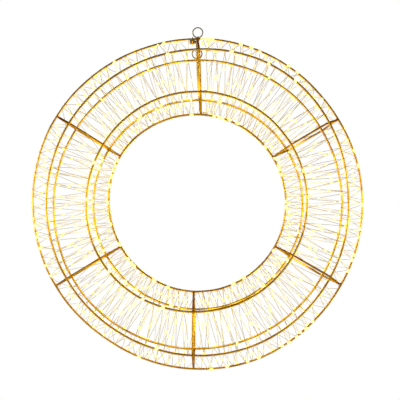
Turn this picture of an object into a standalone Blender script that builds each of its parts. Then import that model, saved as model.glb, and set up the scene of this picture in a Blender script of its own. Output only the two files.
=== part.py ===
"""Lighted wreath frame: six hand-bent wire rings welded over six hexagonal wire ribs.

The frame hangs from a wire eye. Its face is in the XZ plane, the front looks along -Y and +Z is
up. The origin is the place where a hook bears, at the top of the hanging eye's hole. Angles are
clock angles: degrees clockwise from 12 o'clock, as seen from the front.
"""

from math import cos, degrees, exp, pi, radians, sin, tan

import bmesh
import bpy
from mathutils import Vector

# ---------------------------------------------------------------- driving dimensions, in metres
GAP = 0.0003  # between pieces that are welded or tied to each other

WIRE_RADIUS = 0.00125  # of the rings and the ribs
RING_POINTS = 60
RING_TILT = radians(30)  # turns a flat side of the six-sided wire to the front and to the back
RIB_BEND_RADIUS = 0.004
RIB_BEND_POINTS = 3

FRAME_OUTER_RADIUS = 0.2
FRAME_DEPTH = 0.070  # between the front rings' centre plane and the back rings'

# The cross-section of the tube of rings, a hexagon: each ring's radius, and its place in depth
# as a share of half the depth, -1 at the front.
RINGS = {
    "outer_ring": (FRAME_OUTER_RADIUS - WIRE_RADIUS, 0),
    "front_outer_ring": (0.1785, -1),
    "front_inner_ring": (0.1298, -1),
    "inner_ring": (0.1065, 0),
    "back_inner_ring": (0.1298, 1),
    "back_outer_ring": (0.179, 1),
}
RING_NAMES = list(RINGS)

# Where each ring is out of round by hand: clock angle, half-width in degrees, push outwards.
HAND_BENDS = {
    "outer_ring": (
        (52, 16, -0.0013), (158, 14, 0.0020), (188, 14, 0.0009), (213, 18, -0.0018), (298, 14, 0.0014),
        (345, 12, -0.0006),
    ),
    "front_outer_ring": (
        (32, 22, 0.0044), (88, 10, -0.0017), (160, 26, 0.0024), (290, 30, -0.0012), (340, 26, -0.0009),
    ),
    "front_inner_ring": ((110, 45, -0.0013), (165, 18, -0.0008), (238, 24, 0.0028)),
    "inner_ring": ((303, 22, 0.0030), (345, 22, 0.0010)),
    "back_inner_ring": (),
    "back_outer_ring": (
        (32, 22, 0.0008), (125, 20, -0.0014), (162, 16, -0.0008), (232, 18, 0.0014), (318, 18, -0.0018),
    ),
}

# The ribs as they were welded: clock angle, how far the front bar leads the back one, and how
# much the rib leans clockwise on its way outwards.
RIBS = {
    "rib_12_oclock": (0.7, 0.8, -3.1),
    "rib_2_oclock": (58.8, -0.5, 1.0),
    "rib_4_oclock": (119.4, -0.3, 0.9),
    "rib_6_oclock": (181.9, 0.55, -1.7),
    "rib_8_oclock": (240.2, -0.7, -1.3),
    "rib_10_oclock": (301.6, -0.25, 0.6),
}

EYE_WIRE_RADIUS = 0.0007
EYE_OUTER_RADIUS = 0.0068
EYE_RADIUS = EYE_OUTER_RADIUS - EYE_WIRE_RADIUS
EYE_STAND = 0.0018  # from the ring's centre line up to the centre of the eye's lowest wire
EYE_SIDESTEP = WIRE_RADIUS + EYE_WIRE_RADIUS + GAP  # the eye lies against the ring's side
BACK_EYE_SHIFT = -0.001
BACK_EYE_STAND = 0.0014  # higher, to clear the rib's bend inside the back ring

STRING_RADIUS = 0.0003
STRANDS_PER_SECTOR = 6  # an even number, so that a strand that crosses a rib is on the outside
WRAP_TURN = radians(60)
WRAP_RADIUS = (WIRE_RADIUS + STRING_RADIUS + GAP) / cos(WRAP_TURN / 2) + 0.0001
LANE_PITCH = 2 * STRING_RADIUS + GAP  # the strings' first stretches lie side by side on a rib
STRING_EXIT_DEPTH = 0.0008  # how the strings are spread over the sleeve's end
STRING_EXIT_RISE = 0.0009
STRING_STRAIGHT = 0.001

SLEEVE_RADIUS = 0.0022
SLEEVE_LENGTH = 0.0065
SLEEVE_FROM_RIB = 0.0030  # from the rib's middle to the sleeve's near end
INLET_RADIUS = 0.0011
INLET_DEPTH = 0.004
TIE_WIRE_RADIUS = 0.0005

CAP_RADIUS = 0.001
CAP_LENGTH = 0.005
CAP_LEAD = 0.002  # from a string's last wrap to its cap

# Each string winds round two neighbouring rings. It starts and ends at the first of them.
STRINGS = {
    "front_outer_light_string": ("outer_ring", "front_outer_ring"),
    "front_light_string": ("front_outer_ring", "front_inner_ring"),
    "front_inner_light_string": ("front_inner_ring", "inner_ring"),
    "back_inner_light_string": ("inner_ring", "back_inner_ring"),
    "back_light_string": ("back_inner_ring", "back_outer_ring"),
    "back_outer_light_string": ("back_outer_ring", "outer_ring"),
}

# ---------------------------------------------------------------- worked out from those
HALF_DEPTH = FRAME_DEPTH / 2
MIDDLE_RADIUS = (RINGS["outer_ring"][0] + RINGS["inner_ring"][0]) / 2
EYE_CENTRE_RADIUS = RINGS["outer_ring"][0] + EYE_STAND + EYE_RADIUS
CENTRE_Z = -(EYE_CENTRE_RADIUS + EYE_RADIUS - EYE_WIRE_RADIUS)
MID_Y = -EYE_SIDESTEP  # the rings' middle plane; the hanging eye stands just behind it
RIB_INSET = 2 * WIRE_RADIUS + GAP  # from a ring's centre to the rib's bend inside it

COLOURS = {
    "gold_wire": ((0.55, 0.33, 0.07), 0.3, 1.0),
    "eye_wire": ((0.42, 0.38, 0.30), 0.35, 1.0),
    "string_wire": ((0.62, 0.45, 0.20), 0.4, 0.8),
    "sleeve": ((0.26, 0.17, 0.06), 0.5, 0.0),
    "cap": ((0.75, 0.60, 0.30), 0.45, 0.0),
}


def ring_point(name, clock):
    """A ring's centre line at a clock angle, as (radius, depth from the middle plane)."""
    radius, side = RINGS[name]
    for at, half_width, push in HAND_BENDS[name]:
        turn = (clock - at + 180) % 360 - 180
        radius += push * exp(-0.5 * (turn / half_width) ** 2)
    return Vector((radius, side * HALF_DEPTH))


def place(section, clock):
    """A point of the tube's cross-section, (radius, depth), turned to its clock angle."""
    turn = radians(clock)
    x = section[0] * sin(turn)
    z = section[0] * cos(turn)
    return Vector((x, MID_Y + section[1], CENTRE_Z + z))


def rib_clock(name, section):
    """The clock angle of a rib at a point of the tube's cross-section."""
    clock, lead, lean = RIBS[name]
    aside = (section[0] - MIDDLE_RADIUS) * tan(radians(lean))
    return clock - lead / 2 * section[1] / HALF_DEPTH + degrees(aside / section[0])


def shift(point, x=0.0, y=0.0, z=0.0):
    return point + Vector((x, y, z))


# ---------------------------------------------------------------- Blender helpers
def clear_scene():
    for old in list(bpy.data.objects):
        bpy.data.objects.remove(old, do_unlink=True)


def new_material(name):
    colour, roughness, metallic = COLOURS[name]
    material = bpy.data.materials.new(name)
    material.use_nodes = True
    shader = material.node_tree.nodes["Principled BSDF"]
    shader.inputs["Base Color"].default_value = (*colour, 1)
    shader.inputs["Roughness"].default_value = roughness
    shader.inputs["Metallic"].default_value = metallic
    material.diffuse_color = (*colour, 1)
    return material


def new_wire(name, points, radius, material, closed, sides_level=1, tilt=0.0):
    """A round wire of the given radius along straight runs between the points."""
    curve = bpy.data.curves.new(name, "CURVE")
    curve.dimensions = "3D"
    curve.bevel_depth = radius
    curve.bevel_resolution = sides_level
    curve.use_fill_caps = not closed
    spline = curve.splines.new("POLY")
    spline.points.add(len(points) - 1)
    for target, point in zip(spline.points, points):
        target.co = (*point, 1)
        target.tilt = tilt
    spline.use_cyclic_u = closed
    curve.materials.append(material)
    wire = bpy.data.objects.new(name, curve)
    bpy.data.collections["wreath_frame"].objects.link(wire)
    return wire


def new_mesh_object(name, shape, material):
    mesh = bpy.data.meshes.new(name)
    shape.to_mesh(mesh)
    shape.free()
    mesh.shade_smooth()
    mesh.set_sharp_from_angle(angle=radians(40))
    mesh.materials.append(material)
    thing = bpy.data.objects.new(name, mesh)
    bpy.data.collections["wreath_frame"].objects.link(thing)
    return thing


# ---------------------------------------------------------------- the frame
def make_rings(material):
    for name in RING_NAMES:
        clocks = [360 * (k + 0.5) / RING_POINTS for k in range(RING_POINTS)]
        points = [place(ring_point(name, clock), clock) for clock in clocks]
        new_wire(name, points, WIRE_RADIUS, material, closed=True, tilt=RING_TILT)


def inward(name, clock):
    """The direction from a ring into the tube, halfway between its two faces."""
    k = RING_NAMES.index(name)
    here = ring_point(name, clock)
    before = ring_point(RING_NAMES[k - 1], clock)
    after = ring_point(RING_NAMES[(k + 1) % len(RING_NAMES)], clock)
    return ((before - here).normalized() + (after - here).normalized()).normalized()


def rib_section(clock):
    """The rib's closed path in the tube's cross-section, with a round bend inside each ring."""
    centres = [
        ring_point(name, clock) + inward(name, clock) * (RIB_INSET + RIB_BEND_RADIUS)
        for name in RING_NAMES
    ]
    path = []
    for k, centre in enumerate(centres):
        after = centres[(k + 1) % len(centres)]
        normals = [outward(centres[k - 1], centre), outward(centre, after)]
        for step in range(RIB_BEND_POINTS):
            share = step / (RIB_BEND_POINTS - 1)
            direction = normals[0].lerp(normals[1], share).normalized()
            path.append(centre + direction * RIB_BEND_RADIUS)
    return path


def outward(start, end):
    """The unit normal of a run of the cross-section that points out of the tube."""
    run = end - start
    return Vector((-run[1], run[0])).normalized()


def make_ribs(material):
    for name, (clock, _, _) in RIBS.items():
        points = [place(section, rib_clock(name, section)) for section in rib_section(clock)]
        new_wire(name, points, WIRE_RADIUS, material, closed=True)


def make_eye(name, centre, material):
    steps = 24
    points = []
    for k in range(steps):
        turn = 2 * pi * k / steps
        points.append(shift(centre, x=EYE_RADIUS * sin(turn), z=EYE_RADIUS * cos(turn)))
    new_wire(name, points, EYE_WIRE_RADIUS, material, closed=True)


def make_eyes(material):
    top = Vector((0, MID_Y + EYE_SIDESTEP, CENTRE_Z + EYE_CENTRE_RADIUS))
    make_eye("hanging_eye", top, material)
    radius = ring_point("back_outer_ring", 0)[0] + BACK_EYE_STAND + EYE_RADIUS
    back = Vector((BACK_EYE_SHIFT, MID_Y + HALF_DEPTH - EYE_SIDESTEP, CENTRE_Z + radius))
    make_eye("back_hanging_eye", back, material)


# ---------------------------------------------------------------- the light strings
def wrap(ring, other, clock, from_inside):
    """Half a turn round a ring, on its far side from the other ring of the string's face."""
    here = ring_point(ring, clock)
    away = (here - ring_point(other, clock)).normalized()
    side = Vector((-away[1], away[0]))
    if side.dot(inward(ring, clock)) < 0:
        side = -side
    turns = (WRAP_TURN, 0, -WRAP_TURN)
    if not from_inside:
        turns = reversed(turns)
    return [place(here + (away * cos(t) + side * sin(t)) * WRAP_RADIUS, clock) for t in turns]


def wrap_clocks(ring):
    """The clock angles of the wraps on a ring, evenly spaced between each rib and the next."""
    stations = [rib_clock(name, ring_point(ring, clock)) for name, (clock, _, _) in RIBS.items()]
    stations.append(stations[0] + 360)
    clocks = []
    for start, end in zip(stations, stations[1:]):
        for k in range(STRANDS_PER_SECTOR):
            clocks.append(start + (end - start) * (k + 0.5) / STRANDS_PER_SECTOR)
    return clocks


def winding(first, second):
    """A string's path from its last wrap back round to its first, against the clock.

    It starts and ends inside the tube, with a bare strand on the inside next to the first rib.
    """
    points = []
    last = STRANDS_PER_SECTOR * len(RIBS) - 1
    for k in range(last, -1, -1):
        at_second = k % 2 == 1
        ring, other = (second, first) if at_second else (first, second)
        turn = wrap(ring, other, wrap_clocks(ring)[k], from_inside=not at_second)
        if k == last:
            turn = turn[-1:]
        elif k == 0:
            turn = turn[:1] + [cap_point(first, -GAP)]
        points += turn
    return points


def cap_point(ring, along):
    """A point on the axis of a string's end cap, so far along it from the cap's near end."""
    clock = wrap_clocks(ring)[0]
    off = WIRE_RADIUS + CAP_RADIUS + 2 * GAP
    section = ring_point(ring, clock) + inward(ring, clock) * off
    return place(section, clock - degrees((CAP_LEAD + along) / section[0]))


def lane_points(names, lane):
    """A string's first stretch, in its lane beside the 12 o'clock rib's bends at those rings."""
    clock = RIBS["rib_12_oclock"][0]
    side_step = WIRE_RADIUS + GAP + STRING_RADIUS + lane * LANE_PITCH
    points = []
    for name in names:
        section = ring_point(name, clock) + inward(name, clock) * (RIB_INSET + WIRE_RADIUS)
        at_rib = place(section, rib_clock("rib_12_oclock", section))
        points.append(shift(at_rib, x=-side_step))
    return points


def sleeve_centre():
    section = ring_point("outer_ring", RIBS["rib_12_oclock"][0])
    x = place(section, rib_clock("rib_12_oclock", section))[0]
    x -= SLEEVE_FROM_RIB + SLEEVE_LENGTH / 2
    radius = RINGS["outer_ring"][0] - WIRE_RADIUS - SLEEVE_RADIUS - 2 * TIE_WIRE_RADIUS
    return Vector((x, MID_Y, CENTRE_Z + radius))


def sleeve_exit(side, depth, height):
    """Just off one of the sleeve's end faces: side is 1 at the rib's end and -1 at the other."""
    off = side * (SLEEVE_LENGTH / 2 + GAP)
    return shift(sleeve_centre(), x=off, y=depth, z=height)


def first_stretches():
    """Each string's points from the junction sleeve to its first wrap."""
    front = -STRING_EXIT_DEPTH
    back = STRING_EXIT_DEPTH
    rise = STRING_EXIT_RISE
    routes = {
        "front_outer_light_string": (front, rise, 2, ("front_outer_ring",)),
        "front_light_string": (front, 0, 1, ("front_outer_ring", "front_inner_ring")),
        "front_inner_light_string": (
            front, -rise, 0, ("front_outer_ring", "front_inner_ring", "inner_ring")
        ),
        "back_light_string": (back, rise / 2, 1, ("back_outer_ring",)),
        "back_inner_light_string": (back, -rise / 2, 0, ("back_outer_ring", "back_inner_ring")),
    }
    stretches = {}
    for name, (depth, height, lane, rings) in routes.items():
        leave = sleeve_exit(1, depth, height)
        straight = shift(leave, x=STRING_STRAIGHT)
        stretches[name] = [leave, straight] + lane_points(rings, lane)
    leave = sleeve_exit(-1, 2 * STRING_EXIT_DEPTH, 0)
    stretches["back_outer_light_string"] = [leave, shift(leave, x=-STRING_STRAIGHT)]
    return stretches


def make_strings(material):
    stretches = first_stretches()
    for name, (first, second) in STRINGS.items():
        points = stretches[name] + winding(first, second)
        new_wire(name, points, STRING_RADIUS, material, closed=False, sides_level=0)


def make_string_caps(material):
    """A heat-shrunk cap on each string's far end, lying along its ring towards the rib."""
    for name, (first, _) in STRINGS.items():
        ends = [cap_point(first, 0), cap_point(first, CAP_LENGTH)]
        cap_name = name.replace("light_string", "string_cap")
        new_wire(cap_name, ends, CAP_RADIUS, material, closed=False)


# ---------------------------------------------------------------- the junction
def make_sleeve(material):
    """The sleeve in which the strings are joined, with a blind inlet for the lead."""
    shape = bmesh.new()
    sides = 12
    half = SLEEVE_LENGTH / 2
    profile = (
        (half, 0), (half, SLEEVE_RADIUS), (-half, SLEEVE_RADIUS), (-half, INLET_RADIUS),
        (INLET_DEPTH - half, INLET_RADIUS), (INLET_DEPTH - half, 0),
    )
    points = [shape.verts.new((along, 0, radius)) for along, radius in profile]
    edges = [shape.edges.new(pair) for pair in zip(points, points[1:])]
    bmesh.ops.spin(shape, geom=points + edges, axis=(1, 0, 0), cent=(0, 0, 0),
                   angle=2 * pi, steps=sides, use_merge=True)
    bmesh.ops.remove_doubles(shape, verts=shape.verts, dist=1e-6)
    bmesh.ops.recalc_face_normals(shape, faces=shape.faces)
    sleeve = new_mesh_object("junction_sleeve", shape, material)
    sleeve.location = sleeve_centre()


def make_tie(material):
    """A wire tie round the outer ring and the sleeve."""
    centre = sleeve_centre()
    ring_z = CENTRE_Z + ring_point("outer_ring", 0)[0]
    ends = ((ring_z, WIRE_RADIUS, 0), (centre[2], SLEEVE_RADIUS, pi))
    points = []
    for z, inner_radius, start in ends:
        steps = 4
        radius = (inner_radius + TIE_WIRE_RADIUS + GAP) / cos(pi / steps / 2)
        for k in range(steps + 1):
            turn = start + pi * k / steps
            points.append(Vector((centre[0], MID_Y + radius * cos(turn), z + radius * sin(turn))))
    new_wire("junction_tie", points, TIE_WIRE_RADIUS, material, closed=True)


def main():
    clear_scene()
    collection = bpy.data.collections.new("wreath_frame")
    bpy.context.scene.collection.children.link(collection)
    materials = {name: new_material(name) for name in COLOURS}
    make_rings(materials["gold_wire"])
    make_ribs(materials["gold_wire"])
    make_eyes(materials["eye_wire"])
    make_strings(materials["string_wire"])
    make_string_caps(materials["cap"])
    make_sleeve(materials["sleeve"])
    make_tie(materials["gold_wire"])


main()
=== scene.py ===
"""Looks of the lighted wreath frame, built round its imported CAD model.

The wires are swept tubes whose centre lines come from the CAD rings and ribs. Angles are clock
angles: degrees clockwise from 12 o'clock, as seen from the front, which looks along -Y. A
section point is (radius, depth): the distance from the wreath's axis, and the distance behind
the rings' middle plane.
"""

from math import atan2, cos, degrees, pi, radians, sin

import bpy
import numpy as np
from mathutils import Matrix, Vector


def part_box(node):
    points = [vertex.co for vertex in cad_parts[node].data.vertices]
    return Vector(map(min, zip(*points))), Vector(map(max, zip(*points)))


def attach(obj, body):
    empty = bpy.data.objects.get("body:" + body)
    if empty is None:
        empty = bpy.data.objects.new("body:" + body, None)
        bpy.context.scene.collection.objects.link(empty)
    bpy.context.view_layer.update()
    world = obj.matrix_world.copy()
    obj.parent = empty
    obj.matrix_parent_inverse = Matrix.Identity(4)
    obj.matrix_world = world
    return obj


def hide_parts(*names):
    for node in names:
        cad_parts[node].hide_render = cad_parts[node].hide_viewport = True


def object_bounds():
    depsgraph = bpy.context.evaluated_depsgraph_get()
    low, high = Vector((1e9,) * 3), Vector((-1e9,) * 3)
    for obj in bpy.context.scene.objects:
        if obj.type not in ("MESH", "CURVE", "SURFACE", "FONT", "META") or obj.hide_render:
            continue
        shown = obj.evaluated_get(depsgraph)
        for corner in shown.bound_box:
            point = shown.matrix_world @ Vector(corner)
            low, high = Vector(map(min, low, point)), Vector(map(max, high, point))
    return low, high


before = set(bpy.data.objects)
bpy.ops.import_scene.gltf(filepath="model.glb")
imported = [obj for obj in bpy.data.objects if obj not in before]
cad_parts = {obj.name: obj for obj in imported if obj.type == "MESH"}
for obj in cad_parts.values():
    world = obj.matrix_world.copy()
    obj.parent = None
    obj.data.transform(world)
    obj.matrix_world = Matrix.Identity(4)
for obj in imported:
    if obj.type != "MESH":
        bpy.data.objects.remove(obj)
cad_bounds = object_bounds()

# ---------------------------------------------------------------- sizes, in metres

RING_NAMES = (
    "outer_ring", "front_outer_ring", "front_inner_ring",
    "inner_ring", "back_inner_ring", "back_outer_ring",
)
RIB_NAMES = (
    "rib_12_oclock", "rib_2_oclock", "rib_4_oclock",
    "rib_6_oclock", "rib_8_oclock", "rib_10_oclock",
)
# Each string winds round two neighbouring rings. It starts and ends at the first of them.
STRINGS = {
    "front_outer": ("outer_ring", "front_outer_ring"),
    "front": ("front_outer_ring", "front_inner_ring"),
    "front_inner": ("front_inner_ring", "inner_ring"),
    "back_inner": ("inner_ring", "back_inner_ring"),
    "back": ("back_inner_ring", "back_outer_ring"),
    "back_outer": ("back_outer_ring", "outer_ring"),
}

CAD_RING_STEP = 6.0  # degrees between the stations of a CAD ring
WIRE_RADIUS = 0.00125
WIRE_SIDES = 12
SHARP_ANGLE = 50  # degrees, over which an edge isn't shaded smooth

RING_POINTS = 540
RING_WAVES = 6
RING_WAVE_COUNTS = (5, 30)  # a wave has from 5 to 29 swings to a turn
RING_WAVE_RADIAL = 0.00004  # how far each wave takes the wire out and in
RING_WAVE_DEPTH = 0.00006  # how far it wanders forwards and back
BUTT_CLOCKS = (141, 203, 97, 262, 158, 221)  # where each ring's ends are welded together
BUTT_LENGTH = 0.0022
BUTT_SWELL = 0.00025

RIB_INSET = 2 * WIRE_RADIUS + 0.0003
RIB_BEND_RADIUS = 0.004
RIB_BEND_POINTS = 8
RIB_RUN_POINTS = 8
WELD_LENGTH = 0.0042
WELD_RADIUS = 0.0013
WELD_SIZES = (0.85, 1.15)  # the smallest and the largest weld, as shares of the usual one
WELD_LUMPS = 0.12

EYE_WIRE_RADIUS = 0.0007
EYE_POINTS = 72
EYE_SIDES = 10

STRAND_WIRE_RADIUS = 0.00013
STRAND_WIRE_OFFSET = 0.00017  # from the middle of the pair of wires
STRAND_SIDES = 5
STRAND_SLACK = 0.0007
STRANDS_PER_SECTOR = 28
SECTOR_MARGIN = 0.025  # of the way from a rib to the next, kept free beside each
WRAP_RADIUS = WIRE_RADIUS + 0.00034
WRAP_ANGLES = (80, 40, 0, -40, -80)
WRAP_SPREAD = 0.6  # how far a wrap may be from its even place, as a share of the step
WRAP_WANDER = 0.05  # degrees round the wreath
COIL_PITCH = 0.0039  # of the strand that is wound round the 6 o'clock rib's back bar
COIL_POINTS = 10  # to a turn
LANE_CLEAR = 0.0006  # from the 12 o'clock rib's wire to the nearest string that runs beside it
LANE_STEP = 0.0009

BEAD_RADIUS = 0.00172
BEAD_LENGTH = 0.0056
BEAD_SIDES = 8
BEAD_RINGS = 7
BEAD_SIZES_BETWEEN = (0.6, 0.8)  # of the beads between the rings, as shares of a full one
BEAD_SIZES_ON_RING = (0.85, 1.12)
FIRST_BEAD = 0.06  # from the string's start
LAST_BEAD = 0.02  # from its end, at the least
BEAD_STEP = 0.047  # of string from one bead to the next
BEAD_STEP_SPREAD = (0.85, 1.15)
BEAD_SNAP = 0.0075  # a bead that lands this close to a ring sits at it
BEAD_FROM_WRAP = (0.0002, 0.0028)  # how far before or after the wrap such a bead sits
BEAD_AIM = 0.002  # a bead points along the string from this far behind it to this far ahead
BEAD_ON_RING = 0.0032  # nearer than this to a ring's centre line, a bead sits on the ring
BEAD_KEEPS_SIDE = 0.4  # how much a bead on a ring stays on the string's side of the wire
BEAD_TURN = 1.3  # how far a bead on a ring turns from its strand towards the ring's direction
RIB_CLEAR = 0.004  # a bead between the rings stays this far to a rib's side
BUNCH_BEADS = 4
BUNCH_CLOCK = 1.7
BUNCH_STEP = 1.1
BUNCH_TILT = 0.3  # how far a bunched bead may rise or fall along its direction
BUNCH_LIFT = 0.8  # of a bead's radius, from the wire's face to the bead's middle
BEADS_IN_FRONT = {  # the share of each ring's beads that sit in front of the ring
    "outer_ring": 0.4, "front_outer_ring": 0.08, "front_inner_ring": 0.08,
    "inner_ring": 0.45, "back_inner_ring": 0.2, "back_outer_ring": 0.0,
}

CAP_RADIUS = 0.001
CAP_LENGTH = 0.005
CAP_LEAD = 0.002  # from the last wrap to the cap
CAP_SIDES = 12

SLEEVE_SIDES = 20
SLEEVE_SWELL = 0.0008  # how much further up the shrunk sleeve reaches than the CAD's
SLEEVE_PROFILE = (  # shares of the length and radius, from the hollow's floor to the strings' end
    (0.35, 0.06), (0.35, 0.48), (0.02, 0.50), (0.0, 0.62), (0.03, 0.93), (0.12, 1.0),
    (0.35, 0.97), (0.6, 1.0), (0.82, 0.95), (0.92, 0.80), (1.0, 0.66), (1.2, 0.55), (1.25, 0.3),
)

TIE_POINTS = 40
TIE_SIDES = 8
TIE_SQUEEZE = 0.18  # how much narrower the tie is at its top
TIE_TAIL_POINTS = 16
TIE_TAIL_SIDES = 6
TIE_TAIL_LENGTH = 0.004
TIE_TAIL_TWIST = 2.5  # turns

CAMERA_DISTANCE = 1.273  # from the rings' middle plane
CAMERA_RIGHT = 0.0069
CAMERA_BELOW = 0.0604
CAMERA_LENS = 94.9
CAMERA_SHIFT = (-0.00875, 0.13375)
CAMERA_CLIP_START = 0.05

REFLECTED_WORLD = 0.14  # how bright the white world is for all but the camera

GLOW_LIGHTS = 24
GLOW_ENERGY = 0.06
GLOW_COLOUR = (1.0, 0.84, 0.34)
GLOW_INSET = 0.007  # nearer to the inner ring than to the outer
GLOW_DEPTH = 0.014  # behind the middle plane, so that the front wires stay dark
GLOW_SIZE = 0.016

FLOOR_RADIUS = 2.0
FLOOR_CORNERS = 128
FLOOR_BELOW = 0.45  # the wreath's lowest point

random = np.random.default_rng(12)


# ---------------------------------------------------------------- what the CAD nodes say
def node_points(node):
    """A CAD node's vertices, each place once."""
    places = np.array([vertex.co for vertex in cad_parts[node].data.vertices])
    return np.unique(np.round(places, 7), axis=0)


def box_middle(node):
    low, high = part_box(node)
    return np.array((low + high) / 2)


def wreath_centre():
    """On the axis, which the round back inner ring gives, in the plane of the outer ring."""
    x, _, z = box_middle("back_inner_ring")
    return np.array((x, box_middle("outer_ring")[1], z))


CENTRE = wreath_centre()


def tube_places(points):
    """Clock angle, radius and depth of each point."""
    x, depth, z = (points - CENTRE).T
    return np.degrees(np.arctan2(x, z)) % 360, np.hypot(x, z), depth


def ring_line(node):
    """A ring's centre line, as its stations' clock angles, their radii, and its depth."""
    clocks, radii, depths = tube_places(node_points(node))
    stations = np.floor(clocks / CAD_RING_STEP).astype(int)
    count = int(360 / CAD_RING_STEP)
    middles = [radii[stations == k].mean() for k in range(count)]
    return (np.arange(count) + 0.5) * CAD_RING_STEP, np.array(middles), depths.mean()


RINGS = {name: ring_line(name) for name in RING_NAMES}
HALF_DEPTH = abs(RINGS["front_outer_ring"][2])


def ring_point(name, clock):
    clocks, radii, depth = RINGS[name]
    return np.array((np.interp(clock, clocks, radii, period=360), depth))


def place(section, clock):
    """A section point turned to its clock angle, in the row frame."""
    turn = radians(clock)
    return CENTRE + np.array((section[0] * sin(turn), section[1], section[0] * cos(turn)))


def rib_terms(radius, depth):
    """What a rib's clock angle grows with: nothing, the depth, and the radius."""
    aside = (radius - MIDDLE_RADIUS) / radius
    return np.array((np.ones_like(radius), depth / HALF_DEPTH, aside))


def rib_line(node):
    """A rib's clock angle in the middle of the tube, and its slant in depth and outwards."""
    points = node_points(node)
    x, _, z = points.mean(axis=0) - CENTRE
    about = degrees(atan2(x, z))
    clocks, radii, depths = tube_places(points)
    clocks = (clocks - about + 180) % 360 - 180
    fit = np.linalg.lstsq(rib_terms(radii, depths).T, clocks, rcond=None)[0]
    return np.array((about, 0, 0)) + fit


MIDDLE_RADIUS = (RINGS["outer_ring"][1].mean() + RINGS["inner_ring"][1].mean()) / 2
RIBS = {name: rib_line(name) for name in RIB_NAMES}


def rib_clock(name, section):
    return float(RIBS[name] @ rib_terms(*section))


def unit(vector):
    return vector / np.linalg.norm(vector)


def inward(name, clock):
    """The direction from a ring into the tube, halfway between its two faces."""
    k = RING_NAMES.index(name)
    here = ring_point(name, clock)
    before = ring_point(RING_NAMES[k - 1], clock)
    after = ring_point(RING_NAMES[(k + 1) % len(RING_NAMES)], clock)
    return unit(unit(before - here) + unit(after - here))


def along_ring(clock):
    """The direction in which a ring runs, clockwise."""
    return np.array((cos(radians(clock)), 0, -sin(radians(clock))))


def smooth(points, steps=4):
    """A Catmull-Rom curve through the points."""
    points = np.asarray(points)
    padded = np.vstack((2 * points[0] - points[1], points, 2 * points[-1] - points[-2]))
    curve = []
    for a, b, c, d in zip(padded, padded[1:], padded[2:], padded[3:]):
        for t in np.arange(steps) / steps:
            bend = 2 * a - 5 * b + 4 * c - d
            twist = 3 * b - a - 3 * c + d
            curve.append((2 * b + (c - a) * t + bend * t**2 + twist * t**3) / 2)
    return np.vstack((curve, points[-1]))


# ---------------------------------------------------------------- meshes of swept tubes
def frames_along(points, closed):
    """Two unit normals at every point, carried along the line without twist."""
    if closed:
        tangents = np.roll(points, -1, axis=0) - np.roll(points, 1, axis=0)
    else:
        tangents = np.gradient(points, axis=0)
    tangents /= np.linalg.norm(tangents, axis=1, keepdims=True)
    start = np.eye(3)[np.argmin(abs(tangents[0]))]
    normals = np.empty_like(points)
    normals[0] = unit(np.cross(tangents[0], start))
    for k in range(1, len(points)):
        carried = normals[k - 1] - tangents[k] * (normals[k - 1] @ tangents[k])
        normals[k] = unit(carried)
    return normals, np.cross(tangents, normals)


class Tubes:
    """Closed tubes that become one mesh.

    The mesh's "wire" attribute is each vertex's place on the wire laid out straight: the length
    along it, and its two places across it. "glow" is 1 where a bead is brightest.
    """

    def __init__(self):
        self.places = []
        self.wire = []
        self.glow = []
        self.faces = []

    def add(self, points, radius, sides, closed=False, glow=0.0):
        points = np.asarray(points, float)
        count = len(points)
        first = sum(len(block) for block in self.places)
        radius = np.broadcast_to(radius, count)[:, None]
        normals, sideways = frames_along(points, closed)
        lengths = np.linalg.norm(np.diff(points, axis=0), axis=1)
        along = np.concatenate(((0.0,), np.cumsum(lengths)))
        block = np.empty((count, sides, 3))
        wire = np.empty((count, sides, 3))
        for k, turn in enumerate(np.arange(sides) * 2 * pi / sides):
            block[:, k] = points + radius * (cos(turn) * normals + sin(turn) * sideways)
            across = np.hstack((radius * cos(turn), radius * sin(turn)))
            wire[:, k] = np.column_stack((along, across))
        self.places.append(block.reshape(-1, 3))
        self.wire.append(wire.reshape(-1, 3))
        self.glow.append(np.repeat(np.broadcast_to(glow, count), sides))
        self.add_faces(first, count, sides, closed)

    def add_faces(self, first, count, sides, closed):
        grid = first + np.arange(count * sides).reshape(count, sides)
        rows = count if closed else count - 1
        here = grid[:rows]
        there = np.roll(grid, -1, axis=0)[:rows]
        quads = (here, np.roll(here, -1, axis=1), np.roll(there, -1, axis=1), there)
        self.faces += np.stack(quads, axis=-1).reshape(-1, 4).tolist()
        if not closed:
            self.faces.append(grid[0][::-1].tolist())
            self.faces.append(grid[-1].tolist())

    def piece(self, name, material, slot, *nodes):
        """The mesh as an object that rides on the part and stands for those CAD nodes."""
        mesh = bpy.data.meshes.new(name)
        mesh.from_pydata(np.concatenate(self.places).tolist(), [], self.faces)
        wire = mesh.attributes.new("wire", "FLOAT_VECTOR", "POINT")
        wire.data.foreach_set("vector", np.concatenate(self.wire).ravel())
        glow = mesh.attributes.new("glow", "FLOAT", "POINT")
        glow.data.foreach_set("value", np.concatenate(self.glow))
        mesh.shade_smooth()
        mesh.set_sharp_from_angle(angle=radians(SHARP_ANGLE))
        mesh.materials.append(material)
        made = bpy.data.objects.new(name, mesh)
        bpy.context.scene.collection.objects.link(made)
        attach(made, "root")
        if nodes:
            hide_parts(*nodes)
        return made


def blob_profile(steps, blunt=0.12):
    """Places from -1 to 1 along a rounded blob, and its share of the full radius there."""
    turns = np.linspace(blunt, pi - blunt, steps)
    return -np.cos(turns), np.sin(turns)


def add_blob(tubes, centre, direction, length, radius, sides=10, steps=9, lumps=0.0, glow=False):
    """An elongated rounded lump."""
    along, share = blob_profile(steps)
    points = centre + np.outer(along * length / 2, direction)
    lumpy = 1 + lumps * random.uniform(-1, 1, steps)
    brightness = share**3 if glow else 0.0
    tubes.add(points, radius * share * lumpy, sides, glow=brightness)


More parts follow.
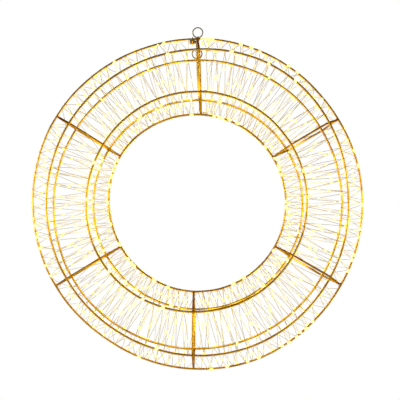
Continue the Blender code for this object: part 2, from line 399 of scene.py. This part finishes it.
# ---------------------------------------------------------------- materials
class Nodes:
    """A new material's nodes, and short ways to add to them."""

    def __init__(self, name):
        self.material = bpy.data.materials.new(name)
        self.material.use_nodes = True
        self.tree = self.material.node_tree
        self.shader = self.tree.nodes["Principled BSDF"]

    def add(self, kind, **settings):
        node = self.tree.nodes.new("ShaderNode" + kind)
        for name, value in settings.items():
            setattr(node, name, value)
        return node

    def link(self, source, target):
        self.tree.links.new(source, target)

    def set(self, **values):
        """Constants on the shader's own sockets, with _ for a space."""
        for name, value in values.items():
            self.shader.inputs[name.replace("_", " ")].default_value = value

    def on_wire(self, along, across):
        """Coordinates on the wire laid out straight, with so many features to the metre."""
        place = self.add("Attribute", attribute_name="wire")
        scale = self.add("Mapping")
        scale.inputs["Scale"].default_value = (along, across, across)
        self.link(place.outputs["Vector"], scale.inputs["Vector"])
        return scale.outputs["Vector"]

    def in_space(self):
        return self.add("TexCoord").outputs["Object"]

    def noise(self, vector, scale, detail=3.0, roughness=0.55):
        noise = self.add("TexNoise")
        noise.inputs["Scale"].default_value = scale
        noise.inputs["Detail"].default_value = detail
        noise.inputs["Roughness"].default_value = roughness
        self.link(vector, noise.inputs["Vector"])
        return noise.outputs["Fac"]

    def ramp(self, factor, *stops):
        """A colour ramp with (position, colour) stops."""
        ramp = self.add("ValToRGB")
        stops_in_ramp = ramp.color_ramp.elements
        while len(stops_in_ramp) < len(stops):
            stops_in_ramp.new(1.0)
        for element, (position, colour) in zip(stops_in_ramp, stops):
            element.position = position
            element.color = (*colour, 1)
        self.link(factor, ramp.inputs["Fac"])
        return ramp.outputs["Color"]

    def mix(self, factor, a, b, blend="MIX"):
        """Two colours mixed. A colour Mix node's colours are its sockets 6 and 7."""
        mix = self.add("Mix", data_type="RGBA", blend_type=blend)
        for socket, value in ((mix.inputs[0], factor), (mix.inputs[6], a), (mix.inputs[7], b)):
            if isinstance(value, bpy.types.NodeSocket):
                self.link(value, socket)
            else:
                socket.default_value = value
        return mix.outputs[2]

    def spread(self, factor, low, high, start=0.3, end=0.7):
        """The factor from start to end, carried over to low to high."""
        spread = self.add("MapRange")
        names = ("From Min", "From Max", "To Min", "To Max")
        for name, value in zip(names, (start, end, low, high)):
            spread.inputs[name].default_value = value
        self.link(factor, spread.inputs["Value"])
        return spread.outputs["Result"]

    def bump(self, height, distance, strength=1.0, under=None):
        bump = self.add("Bump")
        bump.inputs["Distance"].default_value = distance
        bump.inputs["Strength"].default_value = strength
        self.link(height, bump.inputs["Height"])
        if under is not None:
            self.link(under, bump.inputs["Normal"])
        return bump.outputs["Normal"]


def gold_wire_material(name, bright, middle, dark):
    """Drawn steel wire under gold lacquer, which is thinner and browner in places."""
    nodes = Nodes(name)
    streaks = nodes.noise(nodes.on_wire(60, 2600), 1.0, detail=4.0)
    patches = nodes.noise(nodes.in_space(), 34.0, detail=4.0)
    specks = nodes.noise(nodes.in_space(), 900.0, detail=2.0)
    lacquer = nodes.ramp(patches, (0.30, dark), (0.47, middle), (0.66, bright))
    drawn = nodes.ramp(streaks, (0.30, (0.62, 0.58, 0.52)), (0.68, (1.0, 1.0, 1.0)))
    worn = nodes.ramp(specks, (0.30, (0.55, 0.47, 0.38)), (0.42, (1.0, 1.0, 1.0)))
    colour = nodes.mix(1.0, lacquer, drawn, "MULTIPLY")
    colour = nodes.mix(0.7, colour, worn, "MULTIPLY")
    nodes.link(colour, nodes.shader.inputs["Base Color"])
    nodes.link(nodes.spread(specks, 0.24, 0.42), nodes.shader.inputs["Roughness"])
    dents = nodes.bump(patches, 0.0004)
    grain = nodes.bump(streaks, 0.00004, under=dents)
    nodes.link(grain, nodes.shader.inputs["Normal"])
    nodes.set(Metallic=1.0, Specular_Tint=(0.60, 0.34, 0.03, 1))
    return nodes.material


def eye_wire_material():
    """Dull nickel with an olive tarnish."""
    nodes = Nodes("eye_wire")
    streaks = nodes.noise(nodes.on_wire(120, 4000), 1.0)
    patches = nodes.noise(nodes.in_space(), 260.0, detail=4.0)
    tarnish = nodes.ramp(
        patches,
        (0.35, (0.10, 0.07, 0.025)),
        (0.52, (0.20, 0.15, 0.06)),
        (0.70, (0.30, 0.25, 0.13)),
    )
    drawn = nodes.ramp(streaks, (0.3, (0.65, 0.65, 0.65)), (0.65, (1.0, 1.0, 1.0)))
    nodes.link(nodes.mix(1.0, tarnish, drawn, "MULTIPLY"), nodes.shader.inputs["Base Color"])
    nodes.link(nodes.spread(patches, 0.42, 0.25), nodes.shader.inputs["Roughness"])
    nodes.link(nodes.bump(streaks, 0.00003), nodes.shader.inputs["Normal"])
    nodes.set(Metallic=1.0)
    return nodes.material


def string_wire_material():
    """Enamelled copper wire in a brassy tone, redder and paler by turns."""
    nodes = Nodes("string_wire")
    patches = nodes.noise(nodes.in_space(), 45.0, detail=2.0)
    fine = nodes.noise(nodes.on_wire(500, 9000), 1.0)
    enamel = nodes.ramp(
        patches,
        (0.34, (0.36, 0.22, 0.010)),
        (0.50, (0.56, 0.42, 0.012)),
        (0.64, (0.44, 0.36, 0.040)),
    )
    shade = nodes.ramp(fine, (0.3, (0.7, 0.68, 0.64)), (0.7, (1.0, 1.0, 1.0)))
    nodes.link(nodes.mix(1.0, enamel, shade, "MULTIPLY"), nodes.shader.inputs["Base Color"])
    nodes.link(nodes.spread(fine, 0.3, 0.5), nodes.shader.inputs["Roughness"])
    nodes.link(nodes.bump(fine, 0.00001), nodes.shader.inputs["Normal"])
    nodes.set(Metallic=0.5, Specular_IOR_Level=0.1)
    return nodes.material


def led_bead_material():
    """A lit resin drop: pale yellow in the middle, amber towards its ends."""
    nodes = Nodes("led_bead")
    glow = nodes.add("Attribute", attribute_name="glow").outputs["Fac"]
    cloud = nodes.noise(nodes.in_space(), 1400.0, detail=2.0)
    lit = nodes.ramp(
        glow,
        (0.0, (1.0, 0.80, 0.08)),
        (0.4, (1.0, 0.87, 0.15)),
        (0.9, (1.0, 0.93, 0.32)),
    )
    strength = nodes.spread(glow, 0.9, 1.2, start=0.0, end=0.9)
    nodes.link(lit, nodes.shader.inputs["Emission Color"])
    nodes.link(strength, nodes.shader.inputs["Emission Strength"])
    resin = nodes.ramp(cloud, (0.35, (0.50, 0.40, 0.10)), (0.65, (0.60, 0.50, 0.18)))
    nodes.link(resin, nodes.shader.inputs["Base Color"])
    nodes.link(nodes.bump(cloud, 0.00003), nodes.shader.inputs["Normal"])
    nodes.set(Roughness=0.18, IOR=1.5, Coat_Weight=0.6)
    return nodes.material


def shrink_material(name, dark, light):
    """Heat-shrink tube: thin plastic with a soft, slightly wrinkled surface."""
    nodes = Nodes(name)
    patches = nodes.noise(nodes.in_space(), 420.0, detail=3.0)
    wrinkles = nodes.noise(nodes.on_wire(1900, 260), 1.0)
    nodes.link(nodes.ramp(patches, (0.3, dark), (0.7, light)), nodes.shader.inputs["Base Color"])
    nodes.link(nodes.spread(wrinkles, 0.38, 0.55), nodes.shader.inputs["Roughness"])
    nodes.link(nodes.bump(wrinkles, 0.00012), nodes.shader.inputs["Normal"])
    return nodes.material


def floor_material():
    """Pale paper, lit evenly enough to fade into the white round it."""
    nodes = Nodes("floor")
    fibres = nodes.noise(nodes.in_space(), 60.0, detail=4.0)
    tone = nodes.ramp(fibres, (0.3, (0.86, 0.86, 0.855)), (0.7, (0.90, 0.90, 0.895)))
    nodes.link(tone, nodes.shader.inputs["Base Color"])
    distance = nodes.add("TexGradient", gradient_type="SPHERICAL")
    scale = nodes.add("Mapping")
    scale.inputs["Scale"].default_value = (1 / FLOOR_RADIUS, 1 / FLOOR_RADIUS, 1)
    nodes.link(nodes.in_space(), scale.inputs["Vector"])
    nodes.link(scale.outputs["Vector"], distance.inputs["Vector"])
    fade = nodes.spread(distance.outputs["Fac"], 0.95, 0.35, start=0.0, end=0.8)
    nodes.link(fade, nodes.shader.inputs["Emission Strength"])
    nodes.set(Roughness=0.9, Emission_Color=(1, 1, 1, 1))
    return nodes.material


# ---------------------------------------------------------------- the welded frame
def ring_points(name):
    """A ring's fine centre line, which wanders a little."""
    waves = []
    for _ in range(RING_WAVES):
        waves.append((random.integers(*RING_WAVE_COUNTS), random.uniform(0, 360)))
    points = []
    for clock in np.arange(RING_POINTS) * 360 / RING_POINTS:
        section = ring_point(name, clock)
        for count, phase in waves:
            section[0] += RING_WAVE_RADIAL * sin(radians(count * clock + phase))
        section[1] += RING_WAVE_DEPTH * sin(radians(waves[0][0] * clock + waves[1][1]))
        points.append(place(section, clock))
    return np.array(points)


def make_ring(name, butt_clock, material):
    """A ring of wire, swollen where its two ends are butt-welded."""
    points = ring_points(name)
    middle = place(ring_point(name, butt_clock), butt_clock)
    away = np.linalg.norm(points - middle, axis=1) / BUTT_LENGTH
    tubes = Tubes()
    radius = WIRE_RADIUS + BUTT_SWELL * np.exp(-(away**2))
    tubes.add(points, radius, WIRE_SIDES, closed=True)
    tubes.piece(name + "_wire", material, "gold_wire", name)


def rib_section(clock):
    """A rib's closed path in the section, with a round bend inside each ring."""
    centres = []
    for name in RING_NAMES:
        inset = RIB_INSET + RIB_BEND_RADIUS
        centres.append(ring_point(name, clock) + inward(name, clock) * inset)
    path = []
    for k, centre in enumerate(centres):
        before = outward(centres[k - 1], centre)
        after = outward(centre, centres[(k + 1) % len(centres)])
        for share in np.linspace(0, 1, RIB_BEND_POINTS):
            path.append(centre + unit(before * (1 - share) + after * share) * RIB_BEND_RADIUS)
        following = centres[(k + 1) % len(centres)]
        for share in np.linspace(0, 1, RIB_RUN_POINTS + 2)[1:-1]:
            path.append(centre * (1 - share) + following * share + after * RIB_BEND_RADIUS)
    return path


def outward(start, end):
    """The unit normal of a run of the section that points out of the tube."""
    run = end - start
    return unit(np.array((-run[1], run[0])))


def make_rib(name, material):
    """A rib of bent wire, with its six welds to the rings."""
    clock = RIBS[name][0]
    points = [place(point, rib_clock(name, point)) for point in rib_section(clock)]
    tubes = Tubes()
    tubes.add(points, WIRE_RADIUS, WIRE_SIDES, closed=True)
    for ring in RING_NAMES:
        here = ring_point(ring, clock)
        at = rib_clock(name, here)
        centre = place(here + inward(ring, clock) * RIB_INSET / 2, at)
        length = WELD_LENGTH * random.uniform(*WELD_SIZES)
        add_blob(tubes, centre, along_ring(at), length, WELD_RADIUS, lumps=WELD_LUMPS)
    tubes.piece(name + "_bar", material, "gold_wire", name)


def make_eye(name, material, weld_material):
    """A closed ring of thin wire, welded to the frame's ring at its lowest point."""
    low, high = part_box(name)
    middle = box_middle(name)
    radius = (high.x - low.x) / 2 - EYE_WIRE_RADIUS
    points = []
    for turn in np.linspace(0, 2 * pi, EYE_POINTS, endpoint=False):
        points.append(middle + np.array((radius * sin(turn), 0, radius * cos(turn))))
    tubes = Tubes()
    tubes.add(points, EYE_WIRE_RADIUS, EYE_SIDES, closed=True)
    tubes.piece(name + "_loop", material, "eye_wire", name)
    forward = -1 if name == "hanging_eye" else 1
    foot = middle + np.array((0, forward * EYE_WIRE_RADIUS, -radius))
    weld = Tubes()
    add_blob(weld, foot, np.array((1.0, 0, 0)), WELD_LENGTH, WELD_RADIUS, lumps=WELD_LUMPS)
    weld.piece(name + "_weld", weld_material, "gold_wire")


# ---------------------------------------------------------------- the light strings
def wrap(ring, other, clock, outside_first):
    """Half a turn round a ring, on its far side from the other ring of the string's face."""
    here = ring_point(ring, clock)
    away = unit(here - ring_point(other, clock))
    side = np.array((-away[1], away[0]))
    if side @ inward(ring, clock) > 0:
        side = -side
    angles = WRAP_ANGLES if outside_first else WRAP_ANGLES[::-1]
    points = []
    for angle in angles:
        turn = radians(angle)
        reach = (away * cos(turn) + side * sin(turn)) * WRAP_RADIUS
        points.append(place(here + reach, clock + random.uniform(-WRAP_WANDER, WRAP_WANDER)))
    return points


def cap_place(prefix):
    """The middle of a string's end cap, and the clock angle of the string's last wrap."""
    middle = box_middle(prefix + "_string_cap")
    clock, radius, _ = tube_places(middle[None])
    return middle, clock[0] + degrees((CAP_LEAD + CAP_LENGTH / 2) / radius[0])


def wrap_steps():
    """A string's wraps, unevenly spaced as hands leave them, counted in ribs from 12 o'clock."""
    steps = []
    for rib, name in enumerate(RIB_NAMES):
        last = name == RIB_NAMES[-1]
        low = rib + SECTOR_MARGIN
        high = rib + 1 - SECTOR_MARGIN * (2 if last else 1)
        step = (high - low) / STRANDS_PER_SECTOR
        places = low + (np.arange(STRANDS_PER_SECTOR) + 0.5) * step
        places += random.uniform(-WRAP_SPREAD, WRAP_SPREAD, STRANDS_PER_SECTOR) * step
        steps += np.clip(places, low, high).tolist()
    return steps


def step_clock(ring, step):
    """The clock angle of a ring's place that is so many ribs from 12 o'clock."""
    names = RIB_NAMES[int(step)], RIB_NAMES[(int(step) + 1) % len(RIB_NAMES)]
    start, end = (rib_clock(name, ring_point(ring, RIBS[name][0])) for name in names)
    return start + (end - start) % 360 * (step % 1)


def slack_run(start, end):
    """The points between a strand's ends, bowed a little to one side."""
    bow = random.normal(0, STRAND_SLACK, 3)
    return [start + (end - start) * t + bow * sin(pi * t) for t in (0.2, 0.4, 0.6, 0.8)]


def bar_coil(start_ring, end_ring):
    """A strand wound round the 6 o'clock rib's back bar, from ring to ring."""
    name = "rib_6_oclock"
    start, depth = ring_point(start_ring, RIBS[name][0])
    end = ring_point(end_ring, RIBS[name][0])[0]
    toward = np.sign(end - start)
    clear = toward * 3 * RIB_INSET
    radii = np.arange(start + clear, end - clear, toward * COIL_PITCH / COIL_POINTS)
    bar_depth = depth - (RIB_INSET + WIRE_RADIUS / 2) * np.sign(depth)
    points = []
    for radius in radii:
        turn = 2 * pi * radius / COIL_PITCH
        clock = rib_clock(name, (radius, bar_depth))
        bar = place((radius, bar_depth + WRAP_RADIUS * cos(turn)), clock)
        points.append(bar + along_ring(clock) * WRAP_RADIUS * sin(turn))
    return points


def lane_points(names, lane):
    """A string's first stretch, in its lane beside the 12 o'clock rib's bends."""
    clock = RIBS["rib_12_oclock"][0]
    side_step = WIRE_RADIUS + LANE_CLEAR + lane * LANE_STEP
    points = []
    for name in names:
        section = ring_point(name, clock) + inward(name, clock) * (RIB_INSET + WIRE_RADIUS)
        at_rib = place(section, rib_clock("rib_12_oclock", section))
        points.append(at_rib - np.array((side_step, 0, 0)))
    return points


def first_stretch(prefix):
    """A string's points from the junction sleeve to the ring where its winding starts.

    A route is the sleeve's end that the string leaves by, how far behind and above the middle
    of that end it leaves, its lane, and the rings that it passes.
    """
    routes = {
        "front_outer": (1, -0.0008, 0.0009, 2, ("front_outer_ring",)),
        "front": (1, -0.0008, 0, 1, ("front_outer_ring", "front_inner_ring")),
        "front_inner": (1, -0.0008, -0.0009, 0, ("front_outer_ring", "front_inner_ring",
                                                 "inner_ring")),
        "back": (1, 0.0008, 0.00045, 1, ("back_outer_ring",)),
        "back_inner": (1, 0.0008, -0.00045, 0, ("back_outer_ring", "back_inner_ring")),
        "back_outer": (-1, 0.0016, 0, 0, ()),
    }
    side, depth, height, lane, rings = routes[prefix]
    low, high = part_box("junction_sleeve")
    end = high.x if side > 0 else low.x
    middle = box_middle("junction_sleeve")
    inside = 0.001
    leave = np.array((end - side * inside, middle[1] + depth, middle[2] + height))
    straight = leave + np.array((side * 2 * inside, 0, 0))
    return [leave, straight] + lane_points(rings, lane)


def string_path(prefix):
    """A string's centre line, and the places in it where it meets a ring.

    It is wound against the clock, and a strand that passes a rib is on the outside.
    """
    first, second = STRINGS[prefix]
    cap_middle, last_clock = cap_place(prefix)
    steps = wrap_steps()
    at_6_oclock = RIB_NAMES.index("rib_6_oclock") * STRANDS_PER_SECTOR - 1
    points = list(smooth(first_stretch(prefix)))
    meetings = []
    for k in range(len(steps) - 1, -1, -1):
        at_second = k % 2 == 1
        ring, other = (second, first) if at_second else (first, second)
        turn = wrap(ring, other, step_clock(ring, steps[k]), outside_first=at_second)
        if prefix == "back" and k == at_6_oclock:
            points += bar_coil(other, ring)
        else:
            points += slack_run(points[-1], turn[0])
        meetings.append(len(points))
        points += turn
        meetings.append(len(points) - 1)
    tangent = along_ring(last_clock)
    points.append(cap_middle + tangent * CAP_LENGTH / 2)
    points.append(cap_middle - tangent * CAP_LENGTH / 4)
    return np.array(points), meetings


def nearest_ring(point, ring_names):
    """The nearest ring's name, the way from its centre line to the point, and the clock angle."""
    clock, radius, depth = (value[0] for value in tube_places(point[None]))
    here = np.array((radius, depth))
    gaps = {name: here - ring_point(name, clock) for name in ring_names}
    name = min(gaps, key=lambda ring: np.linalg.norm(gaps[ring]))
    return name, place(gaps[name], clock) - CENTRE, clock


def near_rib(section, clock):
    """Whether a place in the tube is in front of, or behind, a rib's bars."""
    turns = [(clock - rib_clock(name, section) + 180) % 360 - 180 for name in RIB_NAMES]
    return radians(min(abs(turn) for turn in turns)) * section[0] < RIB_CLEAR


def bead_spots(path, meetings):
    """Lengths along the string where its beads sit: near a ring where one is close enough."""
    lengths = np.linalg.norm(np.diff(path, axis=0), axis=1)
    along = np.concatenate(((0.0,), np.cumsum(lengths)))
    ring_places = along[meetings]
    spots = []
    spot = FIRST_BEAD
    while spot < along[-1] - LAST_BEAD:
        nearest = np.argmin(abs(ring_places - spot))
        gap = spot - ring_places[nearest]
        if abs(gap) < BEAD_SNAP:
            away = -1 if nearest % 2 == 0 else 1
            spots.append(ring_places[nearest] + away * random.uniform(*BEAD_FROM_WRAP))
        else:
            spots.append(spot)
        spot += BEAD_STEP * random.uniform(*BEAD_STEP_SPREAD)
    return along, spots


def tube_section(point):
    _, radius, depth = tube_places(point[None])
    return np.array((radius[0], depth[0]))


def path_point(along, path, spot):
    return np.array([np.interp(spot, along, path[:, axis]) for axis in range(3)])


def add_bead(beads, centre, direction, size=1.0):
    add_blob(beads, centre, direction, BEAD_LENGTH * size, BEAD_RADIUS * size,
             sides=BEAD_SIDES, steps=BEAD_RINGS, glow=True)


def add_bunch(beads):
    """The last beads of a string, bunched on the outer ring beside the 12 o'clock rib."""
    in_front = -(WIRE_RADIUS + BUNCH_LIFT * BEAD_RADIUS)
    for k in range(BUNCH_BEADS):
        clock = BUNCH_CLOCK + k * BUNCH_STEP
        section = ring_point("outer_ring", clock) + np.array((0, in_front))
        tilt = random.uniform(-BUNCH_TILT, BUNCH_TILT)
        add_bead(beads, place(section, clock), along_ring(clock) + (0, 0, tilt))
        if k % 2 == 0:
            below = section - np.array((BEAD_LENGTH, 0))
            add_bead(beads, place(below, clock), np.array((0, 0, 1.0)))


def seat_on_ring(centre, direction, ring, gap, clock):
    """The middle, direction and size of a bead that lies against a ring's front or back."""
    side = -1 if random.random() < BEADS_IN_FRONT[ring] else 1
    lift = unit(BEAD_KEEPS_SIDE * unit(gap) + np.array((0, side, 0)))
    size = random.uniform(*BEAD_SIZES_ON_RING)
    centre = centre - gap + lift * (WIRE_RADIUS + BEAD_RADIUS)
    direction = direction + random.choice((-1, 1)) * BEAD_TURN * along_ring(clock)
    return centre, unit(direction - lift * (lift @ direction)), size


def make_beads(prefix, path, meetings, material):
    """Lit resin drops along a string."""
    along, spots = bead_spots(path, meetings)
    beads = Tubes()
    for spot in spots:
        centre = path_point(along, path, spot)
        ahead = path_point(along, path, spot + BEAD_AIM)
        direction = unit(ahead - path_point(along, path, spot - BEAD_AIM))
        size = random.uniform(*BEAD_SIZES_BETWEEN)
        ring, gap, clock = nearest_ring(centre, STRINGS[prefix])
        if np.linalg.norm(gap) < BEAD_ON_RING:
            centre, direction, size = seat_on_ring(centre, direction, ring, gap, clock)
        elif near_rib(tube_section(centre), clock):
            continue
        add_bead(beads, centre, direction, size)
    if prefix == "front_outer":
        add_bunch(beads)
    beads.piece(prefix + "_led_beads", material, "led_bead")


def make_string(prefix, wire_material, bead_material):
    """A string of two thin wires side by side, and its beads."""
    path, meetings = string_path(prefix)
    normals, _ = frames_along(path, closed=False)
    tubes = Tubes()
    for side in (-1, 1):
        wire = path + side * STRAND_WIRE_OFFSET * normals
        tubes.add(wire, STRAND_WIRE_RADIUS, STRAND_SIDES)
    name = prefix + "_light_string"
    tubes.piece(name + "_strands", wire_material, "string_wire", name)
    make_beads(prefix, path, meetings, bead_material)


def make_cap(prefix, material):
    """A short heat-shrunk cap, necked at the end where the string enters it."""
    middle, last_clock = cap_place(prefix)
    along = np.array((-0.5, -0.47, -0.38, -0.1, 0.2, 0.3, 0.42, 0.5)) * CAP_LENGTH
    share = np.array((0.35, 0.78, 0.97, 1.0, 0.96, 0.72, 0.6, 0.5))
    tubes = Tubes()
    tubes.add(middle + np.outer(along, along_ring(last_clock)), CAP_RADIUS * share, CAP_SIDES)
    node = prefix + "_string_cap"
    tubes.piece(node + "_shrink", material, "string_cap", node)


# ---------------------------------------------------------------- the junction
def make_sleeve(material):
    """A heat-shrunk sleeve with an open end for the lead and a pinched end for the strings."""
    low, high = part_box("junction_sleeve")
    middle = box_middle("junction_sleeve") + np.array((0, 0, SLEEVE_SWELL / 2))
    radius = (high.z - low.z) / 2 + SLEEVE_SWELL / 2
    points = []
    for along, _ in SLEEVE_PROFILE:
        points.append((low.x + (high.x - low.x) * along, middle[1], middle[2]))
    tubes = Tubes()
    add_lathe(tubes, points, [radius * share for _, share in SLEEVE_PROFILE], SLEEVE_SIDES)
    tubes.piece("junction_sleeve_shrink", material, "junction_sleeve", "junction_sleeve")


def add_lathe(tubes, points, radii, sides):
    """A turned shape along X, whose profile may double back into a hollow."""
    first = sum(len(block) for block in tubes.places)
    points = np.array(points)
    turns = np.arange(sides) * 2 * pi / sides
    block = np.repeat(points[:, None], sides, axis=1)
    across = np.outer(radii, np.cos(turns)), np.outer(radii, np.sin(turns))
    block[:, :, 1] += across[0]
    block[:, :, 2] += across[1]
    lengths = np.linalg.norm(np.diff(points, axis=0), axis=1)
    along = np.concatenate(((0.0,), np.cumsum(lengths)))
    wire = np.stack((np.repeat(along[:, None], sides, axis=1), *across), axis=-1)
    tubes.places.append(block.reshape(-1, 3))
    tubes.wire.append(wire.reshape(-1, 3))
    tubes.glow.append(np.zeros(len(points) * sides))
    tubes.add_faces(first, len(points), sides, closed=False)


def make_tie(material):
    """A wire tie round the outer ring and the sleeve, with its ends twisted together."""
    low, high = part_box("junction_tie")
    middle = box_middle("junction_tie")
    wire = (high.x - low.x) / 2
    half_width = (high.y - low.y) / 2 - wire
    half_height = (high.z - low.z) / 2 - wire
    points = []
    for turn in np.linspace(0, 2 * pi, TIE_POINTS, endpoint=False):
        squeeze = 1 - TIE_SQUEEZE * (1 + cos(turn)) / 2
        across = half_width * sin(turn) * squeeze
        points.append(middle + np.array((0, across, half_height * cos(turn))))
    tubes = Tubes()
    tubes.add(points, wire, TIE_SIDES, closed=True)
    for phase in (0, pi):
        tail = []
        for step in np.linspace(0, 1, TIE_TAIL_POINTS):
            turn = phase + 2 * pi * TIE_TAIL_TWIST * step
            twist = np.array((cos(turn), 0, sin(turn))) * wire * 0.9
            behind = half_width * (0.9 - 0.1 * step) + TIE_TAIL_LENGTH * step
            tail.append(middle + np.array((0, behind, 0)) + twist)
        tubes.add(tail, wire * 0.85, TIE_TAIL_SIDES)
    tubes.piece("junction_tie_wire", material, "gold_wire", "junction_tie")


# ---------------------------------------------------------------- the studio
def make_floor():
    bpy.ops.mesh.primitive_circle_add(
        vertices=FLOOR_CORNERS, radius=FLOOR_RADIUS, fill_type="NGON"
    )
    floor = bpy.context.object
    floor.name = "floor"
    floor.location = (CENTRE[0], CENTRE[1], cad_bounds[0].z - FLOOR_BELOW)
    floor.data.materials.append(floor_material())


def make_light(name, offset, size, energy):
    """A white soft box that faces the wreath's centre."""
    lamp = bpy.data.lights.new(name, "AREA")
    lamp.shape = "DISK"
    lamp.size = size
    lamp.energy = energy
    light = bpy.data.objects.new(name, lamp)
    light.location = CENTRE + np.array(offset)
    light.rotation_euler = (-Vector(offset)).to_track_quat("-Z", "Y").to_euler()
    light.visible_camera = False
    bpy.context.scene.collection.objects.link(light)


def make_glow(name, clock):
    """Some of the beads' light, let out in the middle of the tube of rings."""
    lamp = bpy.data.lights.new(name, "POINT")
    lamp.energy = GLOW_ENERGY
    lamp.color = GLOW_COLOUR
    lamp.shadow_soft_size = GLOW_SIZE
    light = bpy.data.objects.new(name, lamp)
    light.location = place((MIDDLE_RADIUS - GLOW_INSET, GLOW_DEPTH), clock)
    light.visible_camera = False
    bpy.context.scene.collection.objects.link(light)


def make_lights():
    make_light("left_softbox", (-1.3, -0.6, 0.1), size=0.9, energy=22)
    make_light("right_softbox", (1.4, -0.5, 0.1), size=0.8, energy=22)
    for k in range(GLOW_LIGHTS):
        make_glow(f"glow_{k + 1}", 360 * (k + 0.5) / GLOW_LIGHTS)


def make_world():
    """White behind the wreath, and a dimmer studio in its reflections."""
    world = bpy.data.worlds.new("studio")
    world.use_nodes = True
    tree = world.node_tree
    tree.nodes.clear()
    seen = tree.nodes.new("ShaderNodeBackground")
    seen.inputs["Color"].default_value = (1, 1, 1, 1)
    seen.inputs["Strength"].default_value = 1.0
    reflected = tree.nodes.new("ShaderNodeBackground")
    reflected.inputs["Color"].default_value = (1, 1, 1, 1)
    reflected.inputs["Strength"].default_value = REFLECTED_WORLD
    path = tree.nodes.new("ShaderNodeLightPath")
    mix = tree.nodes.new("ShaderNodeMixShader")
    output = tree.nodes.new("ShaderNodeOutputWorld")
    tree.links.new(path.outputs["Is Camera Ray"], mix.inputs["Fac"])
    tree.links.new(reflected.outputs["Background"], mix.inputs[1])
    tree.links.new(seen.outputs["Background"], mix.inputs[2])
    tree.links.new(mix.outputs["Shader"], output.inputs["Surface"])
    bpy.context.scene.world = world


def make_camera():
    camera = bpy.data.cameras.new("camera")
    camera.lens = CAMERA_LENS
    camera.shift_x, camera.shift_y = CAMERA_SHIFT
    camera.clip_start = CAMERA_CLIP_START
    holder = bpy.data.objects.new("camera", camera)
    holder.location = CENTRE + np.array((CAMERA_RIGHT, -CAMERA_DISTANCE, -CAMERA_BELOW))
    holder.rotation_euler = (pi / 2, 0, 0)
    bpy.context.scene.collection.objects.link(holder)
    bpy.context.scene.camera = holder


def main():
    bpy.context.scene.view_settings.view_transform = "Standard"
    make_camera()
    make_world()
    make_lights()
    make_floor()
    gold = gold_wire_material(
        "ring_wire", (0.76, 0.44, 0.038), (0.60, 0.32, 0.020), (0.42, 0.20, 0.014)
    )
    # Painted shade: the ribs get a darker copy of the same gold lacquer as the rings, so that the
    # rib bars stand darker than the rings.
    shaded_rib_gold = gold_wire_material(
        "rib_wire_painted_shade", (0.66, 0.36, 0.028), (0.50, 0.25, 0.016), (0.33, 0.15, 0.010)
    )
    eye_wire = eye_wire_material()
    string_wire = string_wire_material()
    led_bead = led_bead_material()
    cap = shrink_material("string_cap", (0.62, 0.44, 0.13), (0.80, 0.63, 0.27))
    sleeve = shrink_material("junction_sleeve", (0.13, 0.065, 0.015), (0.24, 0.14, 0.04))
    for name, butt_clock in zip(RING_NAMES, BUTT_CLOCKS):
        make_ring(name, butt_clock, gold)
    for name in RIB_NAMES:
        make_rib(name, shaded_rib_gold)
    for name in ("hanging_eye", "back_hanging_eye"):
        make_eye(name, eye_wire, gold)
    for prefix in STRINGS:
        make_string(prefix, string_wire, led_bead)
        make_cap(prefix, cap)
    make_sleeve(sleeve)
    make_tie(gold)


main()
